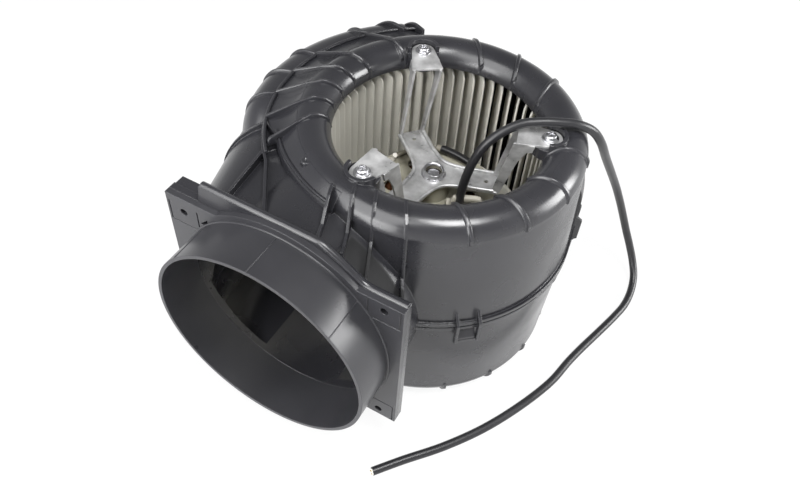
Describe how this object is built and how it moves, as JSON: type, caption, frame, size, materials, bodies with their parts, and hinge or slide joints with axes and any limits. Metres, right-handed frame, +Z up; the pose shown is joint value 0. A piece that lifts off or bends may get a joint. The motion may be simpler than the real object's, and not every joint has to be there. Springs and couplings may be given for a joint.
{
  "type": "range hood blower motor",
  "caption": "Double-inlet centrifugal blower for a range hood: ribbed two-part scroll casing with a round duct spigot, bladed wheel and a motor hung on a three-armed bracket.",
  "frame": {"origin": "fan axis at the level the lower rim stands on", "axes": "+Z up along the fan axis, the outlet blows towards -Y, +X to the right of the outlet's view"},
  "size_m": [0.293, 0.2817, 0.1912],
  "materials": {
    "casing": "charcoal moulding, fine satin grain",
    "collar": "charcoal moulding, smoother than the casing",
    "wheel": "warm grey moulding",
    "hub_metal": "turned",
    "fastener": "zinc plated",
    "shaft_steel": "ground",
    "laminations": "stamped sheet stack",
    "cage_aluminium": "cast",
    "copper": "varnished copper wire",
    "bobbin_plastic": "moulded",
    "end_shield": "light beige paint",
    "bronze": "sintered bronze",
    "washer_plastic": "moulded",
    "bracket_sheet": "galvanised sheet",
    "block_plastic": "beige moulding",
    "sleeve": "black tube",
    "cord": "black sheath"
  },
  "bodies": {
    "casing": {"upper_housing": "casing", "lower_housing": "casing", "outlet_collar": "collar", "stator_core": "laminations", "stator_windings": "copper", "upper_bobbin": "bobbin_plastic", "lower_bobbin": "bobbin_plastic", "upper_end_shield": "end_shield", "lower_end_shield": "end_shield", "upper_bush": "bronze", "lower_bush": "bronze", "motor_bolts": "fastener", "motor_bracket": "bracket_sheet", "bracket_washers": "fastener", "bracket_screws": "fastener", "terminal_block": "block_plastic", "terminal_screws": "bronze", "lead_sleeve": "sleeve", "mains_cord": "cord"},
    "rotor": {"impeller_blades": "wheel", "wheel_rings": "wheel", "wheel_disc": "wheel", "impeller_hub": "hub_metal", "hub_nut": "fastener", "motor_shaft": "shaft_steel", "rotor_core": "laminations", "rotor_cage": "cage_aluminium", "thrust_washers": "washer_plastic"}
  },
  "joints": [
    {"name": "impeller_spin", "type": "hinge", "parent": "casing", "child": "rotor", "pos_m": [0, 0, 0.0945], "axis": [0, 0, 1], "continuous": true}
  ]
}
